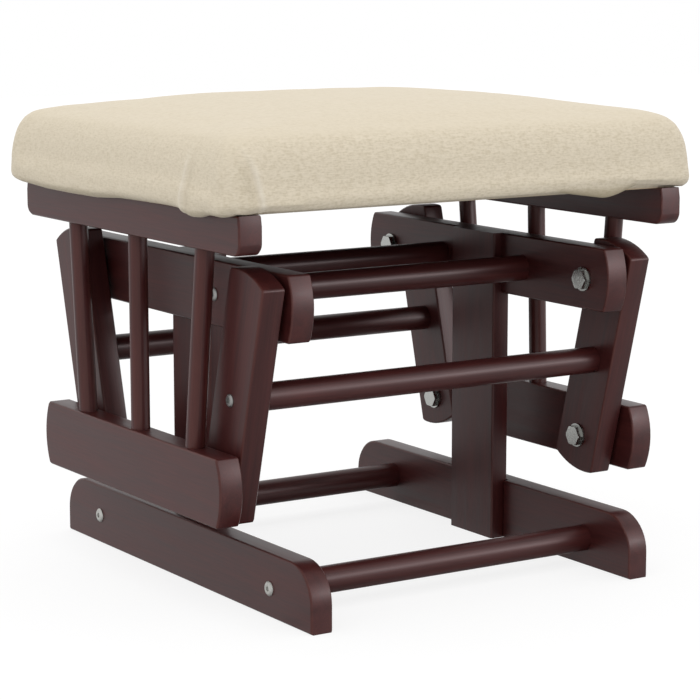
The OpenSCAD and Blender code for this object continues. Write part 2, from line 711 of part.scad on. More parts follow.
top_inserts(1);  // top_inserts_rear
link_bearings(1);  // link_bearings_rear
lower_bolts(1);  // lower_bolts_rear
lower_washers(1);  // lower_washers_rear
lower_spacers_rear();
lower_bolts(-1);  // lower_bolts_front
lower_washers(-1);  // lower_washers_front
lower_spacers_front();
seat_inserts_front();
seat_inserts_rear();
mirror([1, 0, 0]) lower_rail();  // lower_rail_left
lower_rail();  // lower_rail_right
mirror([1, 0, 0]) upper_rail();  // upper_rail_left
upper_rail();  // upper_rail_right
mirror([1, 0, 0]) spindle(-1);  // spindle_front_left
spindle(-1);  // spindle_front_right
mirror([1, 0, 0]) spindle(0);  // spindle_middle_left
spindle(0);  // spindle_middle_right
mirror([1, 0, 0]) spindle(1);  // spindle_rear_left
spindle(1);  // spindle_rear_right
seat_board();
seat_board_screws();
dust_cover();
pad();
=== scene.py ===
# %% [markdown]
# A glider ottoman: an upholstered pad on two spindled side frames, hung from a wooden base
# by four swing links. The imported model is the frame of everything below. Its solids are
# right in size and place, so this script only dresses them: it eases and stains the boards,
# plates the bolts, and sews the pad. First come the imports and the model itself, and a
# function that reads the box of any of its parts. The dressed ottoman has to stay close to
# it.

import json
from math import atan2, cos, pi, radians, sin

import bmesh
import bpy
import numpy as np
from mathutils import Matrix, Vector, noise

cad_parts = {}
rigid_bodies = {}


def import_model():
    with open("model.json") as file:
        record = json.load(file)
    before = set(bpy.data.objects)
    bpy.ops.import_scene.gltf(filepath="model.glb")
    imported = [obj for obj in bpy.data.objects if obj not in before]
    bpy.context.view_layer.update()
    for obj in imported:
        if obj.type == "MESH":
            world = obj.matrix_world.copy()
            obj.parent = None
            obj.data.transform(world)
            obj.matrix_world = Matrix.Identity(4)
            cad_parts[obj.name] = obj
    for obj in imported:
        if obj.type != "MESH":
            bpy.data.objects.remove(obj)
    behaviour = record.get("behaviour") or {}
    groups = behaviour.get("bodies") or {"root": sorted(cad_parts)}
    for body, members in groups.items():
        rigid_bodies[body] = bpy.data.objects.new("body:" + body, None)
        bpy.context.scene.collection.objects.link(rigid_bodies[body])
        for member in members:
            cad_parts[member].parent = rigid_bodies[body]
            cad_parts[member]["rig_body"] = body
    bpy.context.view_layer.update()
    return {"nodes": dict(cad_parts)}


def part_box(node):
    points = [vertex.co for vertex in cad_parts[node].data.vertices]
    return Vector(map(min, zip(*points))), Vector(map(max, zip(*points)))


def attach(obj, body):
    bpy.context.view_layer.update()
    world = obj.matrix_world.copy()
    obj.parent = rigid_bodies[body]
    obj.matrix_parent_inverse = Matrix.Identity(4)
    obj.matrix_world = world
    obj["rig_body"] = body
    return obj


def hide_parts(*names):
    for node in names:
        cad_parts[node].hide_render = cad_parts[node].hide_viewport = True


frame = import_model()
scene = bpy.context.scene
scene.view_settings.view_transform = "Standard"
print("nodes in the model:", len(frame["nodes"]))

# %% [markdown]
# Blender's unit is the metre, but a joiner thinks in millimetres, so every size below is
# written as a count of MM. Colours are written as the sRGB hex codes that a paint chart
# gives, while shaders count light, so one function turns the first into the second. One
# more function adds a shader node, gives it its settings, and feeds its sockets. A mix node
# keeps a set of sockets for each kind of value: 6, 7 and output 2 are those for colours.

# %% Units, colours and nodes
MM = 0.001
WHITE = (1, 1, 1, 1)


def paint(code):
    """The linear colour of an sRGB hex code by the standard's curve, with full alpha."""
    parts = [int(code[i:i + 2], 16) / 255 for i in (1, 3, 5)]
    return [c / 12.92 if c <= 0.04045 else ((c + 0.055) / 1.055) ** 2.4 for c in parts] + [1]


def add_node(tree, kind, settings, sockets):
    """Adds a node. A socket is given a value, or another node's output to be linked to."""
    made = tree.nodes.new(kind)
    for name, value in settings.items():
        setattr(made, name, value)
    for name, value in sockets.items():
        if isinstance(value, bpy.types.NodeSocket):
            tree.links.new(value, made.inputs[name])
        else:
            made.inputs[name].default_value = value
    return made


def new_material(name):
    """An empty material, its node tree, and its output node."""
    material = bpy.data.materials.new(name)
    material.use_nodes = True
    tree = material.node_tree
    tree.nodes.clear()
    return material, tree, tree.nodes.new("ShaderNodeOutputMaterial")


# %% [markdown]
# The camera stands where the photographer's stood: a little above the pad, turned to see
# the front and the left side, with a long lens that keeps the far legs nearly as large as
# the near ones. Its place and turn come from matching known corners of the boards. A lens
# could also be aimed with a tracking constraint, but plain angles are easier to check.

# %% Camera
CAMERA_PLACE = Vector((-1068.4, -1667.3, 496.0)) * MM
CAMERA_TURN = radians(32.73)
CAMERA_TILT = radians(-9.31)
LENS_MM, SENSOR_MM = 124.8, 36
NEAREST_SEEN = 50 * MM

camera = bpy.data.objects.new("camera", bpy.data.cameras.new("camera"))
scene.collection.objects.link(camera)
camera.location = CAMERA_PLACE
camera.rotation_euler = (radians(90) + CAMERA_TILT, 0, -CAMERA_TURN)
camera.data.lens = LENS_MM
camera.data.sensor_width = SENSOR_MM
camera.data.clip_start = NEAREST_SEEN
scene.camera = camera
print("camera to origin, m:", round(CAMERA_PLACE.length, 3))

# %% [markdown]
# A white studio lights the ottoman from all round, at the level where a colour renders as
# it is written. The world could hold a picture of a room, but an even white sky keeps the
# soft shading under the pad plain to read. The camera, the gloss and glass see it white at
# any level of the light. In front stand a large softbox and a bright strip, both a little
# pink. Only the gloss sees them: they give each dowel its pale streak and the boards'
# front edges their sheen, and they leave the level of the light alone.

# %% Light
SKY_LEVEL = 1.0
LAMP_FAR = 2.4
AIMED_AT = Vector((0, 0, 0.2))
LAMP_TINT = (1.0, 0.88, 0.89)

world = bpy.data.worlds.new("white_studio")
scene.world = world
world.use_nodes = True
tree = world.node_tree
tree.nodes.clear()
rays = add_node(tree, "ShaderNodeLightPath", {}, {})
sees = add_node(tree, "ShaderNodeMath", {"operation": "MAXIMUM"},
                {0: rays.outputs["Is Camera Ray"], 1: rays.outputs["Is Glossy Ray"]})
sees = add_node(tree, "ShaderNodeMath", {"operation": "MAXIMUM"},
                {0: sees.outputs[0], 1: rays.outputs["Is Transmission Ray"]})
level = add_node(tree, "ShaderNodeMapRange", {},
                 {"Value": sees.outputs[0], "To Min": SKY_LEVEL, "To Max": 1.0})
sky = add_node(tree, "ShaderNodeBackground", {},
               {"Color": WHITE, "Strength": level.outputs[0]})
add_node(tree, "ShaderNodeOutputWorld", {}, {"Surface": sky.outputs[0]})


def gloss_softbox(name, turn, rise, size, brightness):
    """A rectangular lamp, at a turn to the right and a rise, that only the gloss sees."""
    lamp = bpy.data.objects.new(name, bpy.data.lights.new(name, "AREA"))
    scene.collection.objects.link(lamp)
    lamp.data.shape = "RECTANGLE"
    lamp.data.size, lamp.data.size_y = size
    lamp.data.energy = brightness * pi * size[0] * size[1]
    lamp.data.color = LAMP_TINT
    aim = Vector((-sin(turn) * cos(rise), cos(turn) * cos(rise), -sin(rise)))
    lamp.location = AIMED_AT - aim * LAMP_FAR
    lamp.rotation_euler = aim.to_track_quat("-Z", "Y").to_euler()
    lamp.visible_diffuse = False


gloss_softbox("front_glow", turn=radians(34), rise=radians(18), size=(2.0, 1.7),
              brightness=2.1)
gloss_softbox("front_strip", turn=radians(34), rise=radians(13.5), size=(1.2, 0.22),
              brightness=13.0)
print("sky", SKY_LEVEL, "lamps:", [lamp.name for lamp in bpy.data.lights])

# %% [markdown]
# The floor is a pale, faintly polished one, and each kind of ray is shown its own share of
# it. The camera sees white but for a faint shadow: a weak grey that takes the shadow, and a
# glow that fills the open floor up to white. The gloss sees a light grey with its whole
# shadow, and at a shallow angle the white of the backdrop. All other light meets a darker
# grey, which throws less up than the sky sends down, so that the pad's sides are a shade
# darker than its top. Blender's shadow catcher would leave the gloss nothing to mirror.

# %% Floor
FLOOR_REACH = 6
FLOOR_DROP = 0.2 * MM
FLOOR_BOUNCE = 0.55
FLOOR_IN_GLOSS = 0.7
MIRROR_FROM, MIRROR_FULL = 0.35, 0.75
FLOOR_SHADE = 0.22
OPEN_SKY = 0.8

floor_material, tree, out = new_material("pale_studio_floor")
rays = add_node(tree, "ShaderNodeLightPath", {}, {})
mirrored = add_node(tree, "ShaderNodeMath", {"operation": "MAXIMUM"},
                    {0: rays.outputs["Is Glossy Ray"], 1: rays.outputs["Is Transmission Ray"]})
bounce = add_node(tree, "ShaderNodeBsdfDiffuse", {}, {"Color": [FLOOR_BOUNCE] * 3 + [1]})
lighter = add_node(tree, "ShaderNodeBsdfDiffuse", {}, {"Color": [FLOOR_IN_GLOSS] * 3 + [1]})
slant = add_node(tree, "ShaderNodeLayerWeight", {}, {"Blend": 0.5})
shallow = add_node(tree, "ShaderNodeMapRange", {},
                   {"Value": slant.outputs["Facing"],
                    "From Min": MIRROR_FROM, "From Max": MIRROR_FULL})
backdrop = add_node(tree, "ShaderNodeEmission", {}, {"Color": WHITE, "Strength": 1})
polished = add_node(tree, "ShaderNodeMixShader", {},
                    {0: shallow.outputs[0], 1: lighter.outputs[0], 2: backdrop.outputs[0]})
unseen = add_node(tree, "ShaderNodeMixShader", {},
                  {0: mirrored.outputs[0], 1: bounce.outputs[0], 2: polished.outputs[0]})
shade = add_node(tree, "ShaderNodeBsdfDiffuse", {}, {"Color": [FLOOR_SHADE] * 3 + [1]})
glow = add_node(tree, "ShaderNodeEmission", {},
                {"Color": WHITE, "Strength": 1 - FLOOR_SHADE * SKY_LEVEL * OPEN_SKY})
seen = add_node(tree, "ShaderNodeAddShader", {}, {0: shade.outputs[0], 1: glow.outputs[0]})
shown = add_node(tree, "ShaderNodeMixShader", {},
                 {0: rays.outputs["Is Camera Ray"], 1: unseen.outputs[0], 2: seen.outputs[0]})
tree.links.new(shown.outputs[0], out.inputs["Surface"])

shape = bmesh.new()
bmesh.ops.create_grid(shape, x_segments=1, y_segments=1, size=FLOOR_REACH)
bmesh.ops.translate(shape, verts=shape.verts, vec=(0, 0, -FLOOR_DROP))
floor = bpy.data.objects.new("floor", bpy.data.meshes.new("floor"))
shape.to_mesh(floor.data)
shape.free()
scene.collection.objects.link(floor)
floor.data.materials.append(floor_material)
print("floor bounce", FLOOR_BOUNCE, "in the gloss", FLOOR_IN_GLOSS)

# %% [markdown]
# The boards are a pale hardwood under a dark cherry stain and a satin lacquer. The stain
# sinks in unevenly, so the colour runs in long streaks with the grain. The lacquer fills
# the pores but leaves them as faint lines, and its satin skin mirrors the white studio
# softly: that is why the sides look grey and the ends look red. The pattern is a noise
# stretched along the grain. It reads Object coordinates through a Mapping node of type
# Texture, which turns first and then divides by real sizes, so one recipe serves boards
# that lie, stand or lean. Real pores are 0.1 mm wide, too fine to show, so they are drawn
# about ten times as coarse. A noise seldom leaves the middle of its range of 0 to 1, so
# what it drives is read between two values there.

# %% Stained wood
STAIN_DARK = "#3a1818"
STAIN_MIDDLE = "#451d1c"
STAIN_LIGHT = "#502321"
EDGE_RUB_AND_HIGHLIGHT = "#5c332e"
FIGURE_WIDE, FIGURE_LONG = 11 * MM, 170 * MM
FIBRE_WIDE, FIBRE_LONG = 1.1 * MM, 34 * MM
FIBRE_SHARE = 0.4
STREAKS_ROUGH = 0.55
STAIN_FROM, STAIN_TO = 0.33, 0.68
PORE_DEPTH, PORE_STRENGTH = 0.05 * MM, 0.5
NOISE_LOW, NOISE_MIDDLE, NOISE_HIGH = 0.3, 0.5, 0.7
SATIN_LOW, SATIN_HIGH = 0.34, 0.40
LACQUER_IOR, LACQUER_MIRROR = 1.5, 0.31


def stained_wood(name, along, lean=0.0):
    """Satin lacquer over stained hardwood, with the grain along X, Y or Z and a lean."""
    material, tree, out = new_material(name)
    place = add_node(tree, "ShaderNodeTexCoord", {}, {}).outputs["Object"]

    def streaks(wide, long, detail, wander):
        """A noise drawn out along the grain, in streaks of a given width and length."""
        scale = [long if axis == along else wide for axis in "XYZ"]
        turned = add_node(tree, "ShaderNodeMapping", {"vector_type": "TEXTURE"},
                          {"Vector": place, "Rotation": (lean, 0, 0), "Scale": scale})
        return add_node(tree, "ShaderNodeTexNoise", {},
                        {"Vector": turned.outputs[0], "Scale": 1, "Detail": detail,
                         "Roughness": STREAKS_ROUGH, "Distortion": wander}).outputs["Fac"]

    figure = streaks(FIGURE_WIDE, FIGURE_LONG, detail=3, wander=0.7)
    fibre = streaks(FIBRE_WIDE, FIBRE_LONG, detail=2, wander=0.0)
    both = add_node(tree, "ShaderNodeMix", {"data_type": "FLOAT"},
                    {"Factor": FIBRE_SHARE, "A": figure, "B": fibre})
    stain = add_node(tree, "ShaderNodeValToRGB", {}, {"Fac": both.outputs[0]})
    ramp = stain.color_ramp.elements
    ramp[0].position, ramp[0].color = STAIN_FROM, paint(STAIN_DARK)
    ramp[1].position, ramp[1].color = STAIN_TO, paint(STAIN_LIGHT)
    ramp.new(NOISE_MIDDLE).color = paint(STAIN_MIDDLE)
    # The eased strips are painted a lighter red: partly stain rubbed thin, partly a painted
    # highlight along the edge
    eased_strips = add_node(tree, "ShaderNodeAttribute", {"attribute_name": "eased"}, {})
    edge_rub_and_highlight = add_node(tree, "ShaderNodeMath", {"operation": "MULTIPLY"},
                    {0: eased_strips.outputs["Fac"], 1: figure})
    colour = add_node(tree, "ShaderNodeMix", {"data_type": "RGBA"},
                      {0: edge_rub_and_highlight.outputs[0], 6: stain.outputs["Color"], 7: paint(EDGE_RUB_AND_HIGHLIGHT)})
    skin = add_node(tree, "ShaderNodeMapRange", {},
                    {"Value": figure, "From Min": NOISE_LOW, "From Max": NOISE_HIGH,
                     "To Min": SATIN_LOW, "To Max": SATIN_HIGH})
    pores = add_node(tree, "ShaderNodeBump", {},
                     {"Height": fibre, "Strength": PORE_STRENGTH, "Distance": PORE_DEPTH})
    lacquer = add_node(tree, "ShaderNodeBsdfPrincipled", {},
                       {"Base Color": colour.outputs[2], "Roughness": skin.outputs[0],
                        "IOR": LACQUER_IOR, "Specular IOR Level": LACQUER_MIRROR,
                        "Normal": pores.outputs[0]})
    tree.links.new(lacquer.outputs[0], out.inputs["Surface"])
    return material


top_pivot = sum(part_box("top_bolts_front"), Vector()) / 2
low_pivot = sum(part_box("lower_bolts_front"), Vector()) / 2
link_lean = atan2(low_pivot.y - top_pivot.y, top_pivot.z - low_pivot.z)
wood_across = stained_wood("stained_hardwood_across", "X")
wood_along = stained_wood("stained_hardwood_along", "Y")
wood_upright = stained_wood("stained_hardwood_upright", "Z")
wood_front_link = stained_wood("stained_hardwood_front_link", "Z", link_lean)
wood_rear_link = stained_wood("stained_hardwood_rear_link", "Z", -link_lean)
print("links lean", round(link_lean * 180 / pi, 2), "degrees")

# %% [markdown]
# Each CAD board already has its eased edges and round ends, but as loose triangles with
# flat shading. A smooth copy stands for it: its doubles are merged, the triangles of each
# flat face are dissolved into one, and normals weighted by face area make every eased
# edge catch the light like a rounded one. On the round ends, the steps between the facets
# are closed too, or each facet would shade as a flat one. The strips of easing also get a
# value of their own, which the stain reads: it paints them a lighter red, partly the colour
# that a sander rubs thin along an edge and partly a painted highlight along the edge.
# Modelling the boards again would only risk a second opinion on their size.

# %% Smooth copies of the wooden pieces
SAME_POINT = 0.002 * MM
FLAT_ENOUGH = radians(0.4)
SMALLEST_STEP = 0.32 * MM
EASED_FROM, EASED_TO = 0.3, 0.95
CRISP = radians(50)
record_nodes = frame["nodes"]


def body_of(node):
    """The name of the CAD body that a node rides on."""
    return record_nodes[node]["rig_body"]


def smooth_copy(node, material, slot, crisp=CRISP):
    """A merged, smoothly shaded copy of a CAD node, which stands for it."""
    shape = bmesh.new()
    shape.from_mesh(record_nodes[node].data)
    bmesh.ops.remove_doubles(shape, verts=shape.verts, dist=SAME_POINT)
    bmesh.ops.dissolve_limit(shape, angle_limit=FLAT_ENOUGH, verts=shape.verts,
                             edges=shape.edges)
    if slot == "wood":
        bmesh.ops.remove_doubles(shape, verts=shape.verts, dist=SMALLEST_STEP)
    # The easing strips are marked for the stain, which paints them lighter: rubbed stain and a
    # painted edge highlight
    eased = shape.faces.layers.float.new("eased")
    for face in shape.faces:
        face.smooth = True
        face[eased] = 1.0 if EASED_FROM < abs(face.normal.x) < EASED_TO else 0.0
    for edge in shape.edges:
        edge.smooth = edge.is_manifold and edge.calc_face_angle(0) < crisp
    mesh = bpy.data.meshes.new(node + "_finished")
    shape.to_mesh(mesh)
    shape.free()
    piece = bpy.data.objects.new(node + "_finished", mesh)
    scene.collection.objects.link(piece)
    mesh.materials.append(material)
    normals = piece.modifiers.new("weighted_normals", "WEIGHTED_NORMAL")
    normals.keep_sharp = True
    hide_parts(node)
    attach(piece, body_of(node))


SIDES, ENDS = ("left", "right"), ("front", "rear")
wooden = {}
for side in SIDES:
    for rail in ("base_rail", "hanger_rail", "lower_rail", "upper_rail"):
        wooden[f"{rail}_{side}"] = wood_along
    wooden[f"post_{side}"] = wood_upright
    wooden[f"link_front_{side}"] = wood_front_link
    wooden[f"link_rear_{side}"] = wood_rear_link
    for place in ("front", "middle", "rear"):
        wooden[f"spindle_{place}_{side}"] = wood_upright
for end in ENDS:
    for dowel in ("base_dowel", "upper_dowel", "link_dowel"):
        wooden[f"{dowel}_{end}"] = wood_across
for node, material in wooden.items():
    smooth_copy(node, material, "wood")
print("wooden pieces:", len(wooden))

# %% [markdown]
# The pivot bolts, washers and screws are zinc-plated steel: a hard mirror that handling
# has dulled with fine scratches, blurred further on the screws that a driver has scuffed,
# and satin on the base's big round heads. The threaded inserts are turned brass, a warm
# yellow with a soft gloss, and the bearings are ground steel, the glossiest of all. A
# metal's colour is that of its reflection, so all of them are metallic, with the default
# IOR. Real scratches are about 0.05 mm wide, too fine to show, so they are drawn about ten
# times as coarse.

# %% Plated steel and brass
SCRATCH, SCRATCH_DEPTH, SCRATCH_STRENGTH = 0.6 * MM, 0.05 * MM, 0.06
SHINIER, DULLER = 0.8, 1.25
CRISP_HEXAGON, CRISP_ROUND = radians(25), radians(40)


def worn_metal(name, colour, rough, blotch):
    """A metal whose gloss varies by handling marks of a given size."""
    material, tree, out = new_material(name)
    place = add_node(tree, "ShaderNodeTexCoord", {}, {}).outputs["Object"]
    marks = add_node(tree, "ShaderNodeTexNoise", {},
                     {"Vector": place, "Scale": 1 / blotch, "Detail": 4})
    gloss = add_node(tree, "ShaderNodeMapRange", {},
                     {"Value": marks.outputs["Fac"], "From Min": NOISE_LOW,
                      "From Max": NOISE_HIGH, "To Min": rough * SHINIER,
                      "To Max": rough * DULLER})
    fine = add_node(tree, "ShaderNodeTexNoise", {}, {"Vector": place, "Scale": 1 / SCRATCH})
    bump = add_node(tree, "ShaderNodeBump", {},
                    {"Height": fine.outputs["Fac"], "Strength": SCRATCH_STRENGTH,
                     "Distance": SCRATCH_DEPTH})
    metal = add_node(tree, "ShaderNodeBsdfPrincipled", {},
                     {"Base Color": paint(colour), "Metallic": 1,
                      "Roughness": gloss.outputs[0], "Normal": bump.outputs[0]})
    tree.links.new(metal.outputs[0], out.inputs["Surface"])
    return material


zinc_steel = worn_metal("zinc_plated_steel", "#abaca9", rough=0.26, blotch=4 * MM)
dull_steel = worn_metal("dull_zinc_plated_steel", "#9b9b99", rough=0.42, blotch=4 * MM)
satin_steel = worn_metal("satin_zinc_plated_steel", "#bfbfbb", rough=0.5, blotch=4 * MM)
bearing_steel = worn_metal("ground_bearing_steel", "#9d9fa2", rough=0.2, blotch=6 * MM)
brass = worn_metal("turned_brass", "#c7a35a", rough=0.3, blotch=3 * MM)
for end in ENDS:
    for kind in ("top_bolts", "top_washers", "lower_bolts", "lower_washers"):
        smooth_copy(f"{kind}_{end}", zinc_steel, "steel", CRISP_HEXAGON)
    smooth_copy(f"link_screws_{end}", dull_steel, "steel", CRISP_HEXAGON)
smooth_copy("base_bolts", satin_steel, "steel", CRISP_ROUND)
smooth_copy("hanger_screws", dull_steel, "steel", CRISP_ROUND)

# %% [markdown]
# Some pieces barely show, if at all: spacers between the boards, bearings, inserts, pins
# of raw birch, the plywood seat board with its layers, its screws, and the black spunbond
# dust cover under it, which is as dull as felt. They could be left in one grey, but the
# exported model is taken apart too. Their CAD nodes are right as they are and only need
# their real materials.

# %% Materials of the inner pieces
SOLID_RELIEF, SOLID_STRENGTH = 0.1 * MM, 0.3


def plain_solid(name, dark, light, grain, rough):
    """A non-metal whose colour wanders between two tones in patches of a given size."""
    material, tree, out = new_material(name)
    place = add_node(tree, "ShaderNodeTexCoord", {}, {}).outputs["Object"]
    patches = add_node(tree, "ShaderNodeMapping", {"vector_type": "TEXTURE"},
                       {"Vector": place, "Scale": grain})
    mottle = add_node(tree, "ShaderNodeTexNoise", {},
                      {"Vector": patches.outputs[0], "Scale": 1, "Detail": 4})
    colour = add_node(tree, "ShaderNodeMix", {"data_type": "RGBA"},
                      {0: mottle.outputs["Fac"], 6: paint(dark), 7: paint(light)})
    bump = add_node(tree, "ShaderNodeBump", {},
                    {"Height": mottle.outputs["Fac"], "Strength": SOLID_STRENGTH,
                     "Distance": SOLID_RELIEF})
    surface = add_node(tree, "ShaderNodeBsdfPrincipled", {},
                       {"Base Color": colour.outputs[2], "Roughness": rough,
                        "Normal": bump.outputs[0]})
    tree.links.new(surface.outputs[0], out.inputs["Surface"])
    return material


birch = plain_solid("raw_birch", "#b98f58", "#dcb988",
                    grain=(20 * MM, 1 * MM, 1 * MM), rough=0.6)
plywood = plain_solid("birch_plywood", "#b08c5c", "#d2b183",
                      grain=(60 * MM, 3 * MM, 1.4 * MM), rough=0.6)
lining = plain_solid("black_spunbond_lining", "#141312", "#2b2927",
                     grain=(2 * MM, 2 * MM, 2 * MM), rough=0.9)
inner = {"post_pins": birch, "seat_board": plywood, "dust_cover": lining,
         "seat_board_screws": zinc_steel, "hanger_bearings": bearing_steel,
         "base_bolt_inserts": brass}
for end in ENDS:
    inner[f"top_spacers_{end}"] = inner[f"lower_spacers_{end}"] = zinc_steel
    inner[f"link_bearings_{end}"] = bearing_steel
    inner[f"top_inserts_{end}"] = inner[f"seat_inserts_{end}"] = brass
for node, material in inner.items():
    record_nodes[node].data.materials.clear()
    record_nodes[node].data.materials.append(material)
print("inner pieces:", len(inner))

# %% [markdown]
# The pad is a block of foam on the seat board, with one piece of cloth pulled over it,
# folded at the corners and stapled underneath. It starts as a copy of its CAD solid, with
# the seat board's pocket closed by the cloth that runs under it, and a little smaller,
# because stuffing swells. A voxel remesh makes an even net of it, and the cloth simulation
# blows that up with a little pressure while the underside is held, as the staples hold it.
# How far a point may move is capped, because foam is not a balloon. Sculpting would do
# too, but a simulation finds by itself where a tight cover bulges.

# %% Foam form
pad_low, pad_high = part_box("pad")
board_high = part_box("seat_board")[1]
VOXEL = 5 * MM
SWELL_ROOM = 1.2 * MM
SWELL_CAP = 1.5 * MM
STUFFING, STUFFING_STEPS = 4, 20
HELD_HIGH, FREE_HIGH = 3 * MM, 14 * MM
NO_MOVE = 1e-9


def object_of(shape, name):
    """Turns a bmesh into an object of the scene, at the origin."""
    mesh = bpy.data.meshes.new(name)
    shape.to_mesh(mesh)
    shape.free()
    made = bpy.data.objects.new(name, mesh)
    scene.collection.objects.link(made)
    return made


def apply_modifiers(piece):
    """Replaces the piece's mesh with the one that its modifiers make, and drops them."""
    graph = bpy.context.evaluated_depsgraph_get()
    mesh = bpy.data.meshes.new_from_object(piece.evaluated_get(graph))
    piece.modifiers.clear()
    piece.data = mesh


def points_of(piece, kind="co"):
    """The places of a mesh's points as an array, or another kind of triple, as normals."""
    triples = np.zeros(len(piece.data.vertices) * 3)
    piece.data.vertices.foreach_get(kind, triples)
    return triples.reshape(-1, 3)


def smooth_step(low, high, values):
    """0 below low, 1 above high, and a soft step between."""
    share = np.clip((values - low) / (high - low), 0, 1)
    return share * share * (3 - 2 * share)


shape = bmesh.new()
shape.from_mesh(record_nodes["pad"].data)
bmesh.ops.remove_doubles(shape, verts=shape.verts, dist=SAME_POINT)
pocket = [face for face in shape.faces
          if face.calc_center_median().z < board_high.z + SAME_POINT
          and max(abs(v.co.x) for v in face.verts) < board_high.x + MM
          and max(abs(v.co.y) for v in face.verts) < board_high.y + MM
          and max(v.co.z for v in face.verts) > pad_low.z + SAME_POINT]
bmesh.ops.delete(shape, geom=pocket, context="FACES")
rim = [edge for edge in shape.edges if edge.is_boundary]
bmesh.ops.holes_fill(shape, edges=rim, sides=0)
shape.normal_update()
for vertex in shape.verts:
    room = SWELL_ROOM * smooth_step(HELD_HIGH, FREE_HIGH, vertex.co.z - pad_low.z)
    vertex.co -= vertex.normal * room
cushion = object_of(shape, "cushion")
remesh = cushion.modifiers.new("even_net", "REMESH")
remesh.mode = "VOXEL"
remesh.voxel_size = VOXEL
apply_modifiers(cushion)
print("foam form:", len(pocket), "pocket faces closed,", len(cushion.data.vertices), "points")

# %% [markdown]
# The upholsterer presses the foam in until the cloth is tight. The simulation does so in
# twenty steps without gravity. Then its result is made the mesh, each point's move is
# capped, and one subdivision smooths the net.

# %% Stuff the pad
rest = points_of(cushion)
held = cushion.vertex_groups.new(name="held")
for index, grip in enumerate(1 - smooth_step(HELD_HIGH, FREE_HIGH, rest[:, 2] - pad_low.z)):
    held.add([index], float(grip), "ADD")
stuffing = cushion.modifiers.new("stuffing", "CLOTH")
stuffing.settings.use_pressure = True
stuffing.settings.uniform_pressure_force = STUFFING
stuffing.settings.vertex_group_mass = "held"
stuffing.settings.effector_weights.gravity = 0
for step in range(STUFFING_STEPS):
    scene.frame_set(step + 1)
apply_modifiers(cushion)
scene.frame_set(1)
moved = points_of(cushion) - rest
far = np.maximum(np.linalg.norm(moved, axis=1, keepdims=True), NO_MOVE)
capped = rest + moved * np.minimum(1, SWELL_CAP / far)
cushion.data.vertices.foreach_set("co", capped.ravel())
print("stuffed: moved up to", round(float(far.max()) / MM, 1), "mm before the cap")
cushion.data.update()
net = cushion.modifiers.new("finer", "SUBSURF")
net.levels = net.render_levels = 1
apply_modifiers(cushion)
print("cushion:", len(cushion.data.vertices), "points")

# %% [markdown]
# Now the cloth gets what the stapler left. At the corners the spare cloth is folded under
# in tucks, which show as slanting ridges with a step on the side of the corner. Such folds
# are narrower than a voxel, so they are made now, on a net that is made finer along them.
# Real folds overlap, which a simply closed net can't do, so each tuck is a slow rise, a
# quick fall past its edge to a shallow hollow, and a slow return from it.

# %% Finer net along the tucks
FINE_BAND, FINE_ABOVE = 10 * MM, 8 * MM
FINE_CUTS = 3
SIDE_BAND = 22 * MM

# Each tuck: the side it is on, how far it stands out, and its line from top to foot as
# points of (place along the side, height above the rails), all in millimetres
TUCKS = [
    ("left", 1.3, [(-121, 47), (-120, 36), (-118, 22), (-117, 11), (-114, 0)]),
    ("front", 1.9, [(-200, 50), (-196, 41), (-192, 28), (-190, 16), (-188, 0)]),
    ("right", 1.3, [(-148, 44), (-151, 30), (-157, 14), (-160, 0)]),
    ("right", 1.4, [(148, 46), (144, 32), (137, 13), (134, 0)]),
    ("rear", 1.6, [(-193, 48), (-191, 32), (-187, 15), (-184, 0)]),
    ("rear", 1.6, [(191, 48), (189, 32), (184, 15), (181, 0)]),
]


def side_frame(side):
    """For a side: the axis across it, its sign, the axis along it, and its distance."""
    across = 0 if side in ("left", "right") else 1
    sign = -1 if side in ("left", "front") else 1
    return across, sign, 1 - across, abs(pad_high[across])


def past_line(places, side, line):
    """How far points lie past a tuck's line, towards the nearer corner."""
    across, sign, along, reach = side_frame(side)
    heights = [point[1] * MM for point in line[::-1]]
    middles = [point[0] * MM for point in line[::-1]]
    middle = np.interp(places[:, 2] - pad_low.z, heights, middles)
    return (places[:, along] - middle) * np.sign(line[-1][0])


def on_side(places, side):
    """1 on the upright face of a side, fading to 0 further in."""
    across, sign, along, reach = side_frame(side)
    return smooth_step(reach - SIDE_BAND, reach - SIDE_BAND / 3, places[:, across] * sign)


places = points_of(cushion)
close = np.zeros(len(places), bool)
for side, stand, line in TUCKS:
    near_line = np.abs(past_line(places, side, line)) < FINE_BAND
    low_enough = places[:, 2] < pad_low.z + line[0][1] * MM + FINE_ABOVE
    close |= near_line & low_enough & (on_side(places, side) > 0)
shape = bmesh.new()
shape.from_mesh(cushion.data)
shape.verts.ensure_lookup_table()
fine_edges = [edge for edge in shape.edges if all(close[v.index] for v in edge.verts)]
bmesh.ops.subdivide_edges(shape, edges=fine_edges, cuts=FINE_CUTS, use_grid_fill=True)
shape.to_mesh(cushion.data)
shape.free()
print("net for the tucks:", len(cushion.data.vertices), "points")

# %% [markdown]
# Each tuck now moves the points near its line outwards. Two more numbers are kept for each
# point, for the cloth's colour later: how near it is to a tuck's crest, which gets a painted
# highlight, and to the hollow past it, which gets a painted shade.

# %% Tucks
TUCK_RISE = 4.5 * MM
TUCK_EDGE = 1.7 * MM
TUCK_HOLLOW = 0.5
TUCK_FADE, FADE_PAST_TOP = 0.5, 6 * MM
CREST_HIGHLIGHT_WIDE = 2.8 * MM
HOLLOW_SHADE_AT, HOLLOW_SHADE_WIDE = 7 * MM, 4.5 * MM

